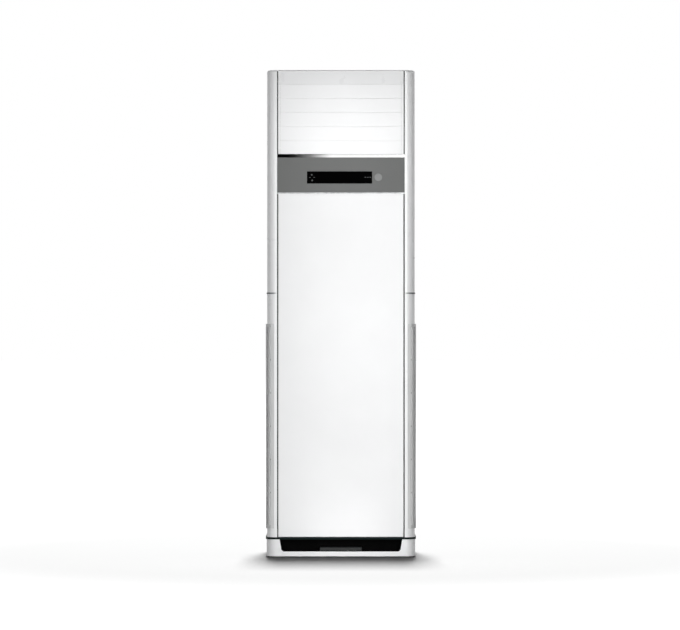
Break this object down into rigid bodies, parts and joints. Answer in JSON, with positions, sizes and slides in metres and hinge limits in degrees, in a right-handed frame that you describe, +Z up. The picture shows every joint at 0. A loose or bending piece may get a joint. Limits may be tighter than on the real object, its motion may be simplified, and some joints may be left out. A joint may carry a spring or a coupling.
{
  "type": "floor standing air conditioner",
  "caption": "Tall white floor standing air conditioner with a slatted top outlet, grey control fascia, long front panel and side intake grilles",
  "frame": {"origin": "on the floor under the middle of the case", "axes": "+Z up, the front with the slats and the display faces -Y, +X to the right seen from the front"},
  "size_m": [0.5632, 0.3896, 1.824],
  "materials": {
    "white_plastic": "satin moulded white",
    "panel_white": "glossy white",
    "louver_white": "satin white",
    "grille_plastic": "satin light grey",
    "filter_plastic": "fine net in a frame",
    "black_plastic": "matt black",
    "ledge_plastic": "satin dark grey",
    "dark_seam": "dark grey paint",
    "foot_rubber": "matt",
    "seal_foam": "matt foam",
    "back_paint": "light grey paint",
    "screw_steel": "zinc plated",
    "fascia_grey": "satin grey",
    "display_black": "polished black",
    "button_grey": "satin light grey",
    "chrome": "polished",
    "circuit_board": "green solder mask",
    "vane_plastic": "plain",
    "galvanised": "galvanised",
    "motor_paint": "dark paint",
    "shaft_steel": "ground",
    "fin_aluminium": "plain",
    "copper": "copper tube",
    "drain_plastic": "plain"
  },
  "bodies": {
    "cabinet": {"base_plinth": "white_plastic", "toe_recess_liner": "black_plastic", "toe_ledge": "ledge_plastic", "base_pan": "dark_seam", "levelling_feet": "foot_rubber", "right_lower_side": "white_plastic", "left_lower_side": "white_plastic", "right_upper_side": "white_plastic", "left_upper_side": "white_plastic", "seam_strips": "dark_seam", "top_cover": "white_plastic", "top_fascia": "white_plastic", "gap_seals": "seal_foam", "back_panel": "back_paint", "case_screws": "screw_steel", "outlet_frame": "white_plastic", "louver_motor": "motor_paint", "vane_motor": "motor_paint", "chrome_trim": "chrome", "control_fascia": "fascia_grey", "display_window": "display_black", "display_board": "circuit_board", "panel_rail": "galvanised", "fan_deck": "galvanised", "fan_scroll": "galvanised", "bell_mouth": "black_plastic", "fan_motor": "motor_paint", "motor_bracket": "galvanised", "evaporator_fins": "fin_aluminium", "evaporator_tubes": "copper", "evaporator_brackets": "galvanised", "drain_pan": "drain_plastic", "drain_pipe": "drain_plastic", "gas_pipe": "copper", "liquid_pipe": "copper", "electrical_box": "galvanised", "control_board": "circuit_board", "terminal_block": "black_plastic", "cable_gland": "drain_plastic"},
    "louver_1": {"louver_1": "louver_white"},
    "louver_2": {"louver_2": "louver_white"},
    "louver_3": {"louver_3": "louver_white"},
    "louver_4": {"louver_4": "louver_white"},
    "louver_5": {"louver_5": "louver_white"},
    "louver_link": {"louver_link": "vane_plastic"},
    "vane_1": {"vane_1": "vane_plastic"},
    "vane_2": {"vane_2": "vane_plastic"},
    "vane_3": {"vane_3": "vane_plastic"},
    "vane_4": {"vane_4": "vane_plastic"},
    "vane_5": {"vane_5": "vane_plastic"},
    "vane_6": {"vane_6": "vane_plastic"},
    "vane_link": {"vane_link": "vane_plastic"},
    "fan": {"fan_wheel": "vane_plastic", "fan_shaft": "shaft_steel"},
    "front_panel": {"front_panel": "panel_white"},
    "left_grille": {"left_inlet_grille": "grille_plastic"},
    "left_filter": {"left_filter": "filter_plastic"},
    "right_grille": {"right_inlet_grille": "grille_plastic"},
    "right_filter": {"right_filter": "filter_plastic"},
    "power_button": {"power_button": "button_grey"}
  },
  "joints": [
    {"name": "louver_swing", "type": "hinge", "parent": "cabinet", "child": "louver_3", "pos_m": [0, -0.174, 1.63855], "axis": [-1, 0, 0], "range_deg": [0, 75]},
    {"name": "louver_1_swing", "type": "hinge", "parent": "cabinet", "child": "louver_1", "pos_m": [0, -0.174, 1.74435], "axis": [-1, 0, 0], "range_deg": [0, 75]},
    {"name": "louver_2_swing", "type": "hinge", "parent": "cabinet", "child": "louver_2", "pos_m": [0, -0.174, 1.69145], "axis": [-1, 0, 0], "range_deg": [0, 75]},
    {"name": "louver_4_swing", "type": "hinge", "parent": "cabinet", "child": "louver_4", "pos_m": [0, -0.174, 1.58565], "axis": [-1, 0, 0], "range_deg": [0, 75]},
    {"name": "louver_5_swing", "type": "hinge", "parent": "cabinet", "child": "louver_5", "pos_m": [0, -0.174, 1.53275], "axis": [-1, 0, 0], "range_deg": [0, 75]},
    {"name": "louver_link_pivot", "type": "hinge", "parent": "louver_3", "child": "louver_link", "pos_m": [0.22925, -0.16607, 1.64464], "axis": [-1, 0, 0], "range_deg": [-75, 0]},
    {"name": "vane_swing", "type": "hinge", "parent": "cabinet", "child": "vane_3", "pos_m": [-0.038, -0.104, 1.64], "axis": [0, 0, 1], "range_deg": [-35, 35]},
    {"name": "vane_1_swing", "type": "hinge", "parent": "cabinet", "child": "vane_1", "pos_m": [-0.19, -0.104, 1.64], "axis": [0, 0, 1], "range_deg": [-35, 35]},
    {"name": "vane_2_swing", "type": "hinge", "parent": "cabinet", "child": "vane_2", "pos_m": [-0.114, -0.104, 1.64], "axis": [0, 0, 1], "range_deg": [-35, 35]},
    {"name": "vane_4_swing", "type": "hinge", "parent": "cabinet", "child": "vane_4", "pos_m": [0.038, -0.104, 1.64], "axis": [0, 0, 1], "range_deg": [-35, 35]},
    {"name": "vane_5_swing", "type": "hinge", "parent": "cabinet", "child": "vane_5", "pos_m": [0.114, -0.104, 1.64], "axis": [0, 0, 1], "range_deg": [-35, 35]},
    {"name": "vane_6_swing", "type": "hinge", "parent": "cabinet", "child": "vane_6", "pos_m": [0.19, -0.104, 1.64], "axis": [0, 0, 1], "range_deg": [-35, 35]},
    {"name": "vane_link_pivot", "type": "hinge", "parent": "vane_3", "child": "vane_link", "pos_m": [-0.038, -0.076, 1.511], "axis": [0, 0, 1], "range_deg": [-35, 35]},
    {"name": "fan_spin", "type": "hinge", "parent": "cabinet", "child": "fan", "pos_m": [0, 0.01, 0.56], "axis": [0, 1, 0], "continuous": true},
    {"name": "panel_hinge", "type": "hinge", "parent": "cabinet", "child": "front_panel", "pos_m": [0, -0.178, 1.353], "axis": [-1, 0, 0], "range_deg": [0, 12]},
    {"name": "left_grille_slide", "type": "slide", "parent": "cabinet", "child": "left_grille", "axis": [-1, 0, 0], "range_m": [0, 0.06]},
    {"name": "left_filter_slide", "type": "slide", "parent": "left_grille", "child": "left_filter", "axis": [1, 0, 0], "range_m": [0, 0.01]},
    {"name": "right_grille_slide", "type": "slide", "parent": "cabinet", "child": "right_grille", "axis": [1, 0, 0], "range_m": [0, 0.06]},
    {"name": "right_filter_slide", "type": "slide", "parent": "right_grille", "child": "right_filter", "axis": [-1, 0, 0], "range_m": [0, 0.01]},
    {"name": "button_press", "type": "slide", "parent": "cabinet", "child": "power_button", "axis": [0, 1, 0], "range_m": [0, 0.001], "stiffness_N_per_m": 500}
  ],
  "couplings": [
    {"joint": "louver_1_swing", "follows": "louver_swing", "ratio": 1},
    {"joint": "louver_2_swing", "follows": "louver_swing", "ratio": 1},
    {"joint": "louver_4_swing", "follows": "louver_swing", "ratio": 1},
    {"joint": "louver_5_swing", "follows": "louver_swing", "ratio": 1},
    {"joint": "louver_link_pivot", "follows": "louver_swing", "ratio": -1},
    {"joint": "vane_1_swing", "follows": "vane_swing", "ratio": 1},
    {"joint": "vane_2_swing", "follows": "vane_swing", "ratio": 1},
    {"joint": "vane_4_swing", "follows": "vane_swing", "ratio": 1},
    {"joint": "vane_5_swing", "follows": "vane_swing", "ratio": 1},
    {"joint": "vane_6_swing", "follows": "vane_swing", "ratio": 1},
    {"joint": "vane_link_pivot", "follows": "vane_swing", "ratio": -1}
  ]
}
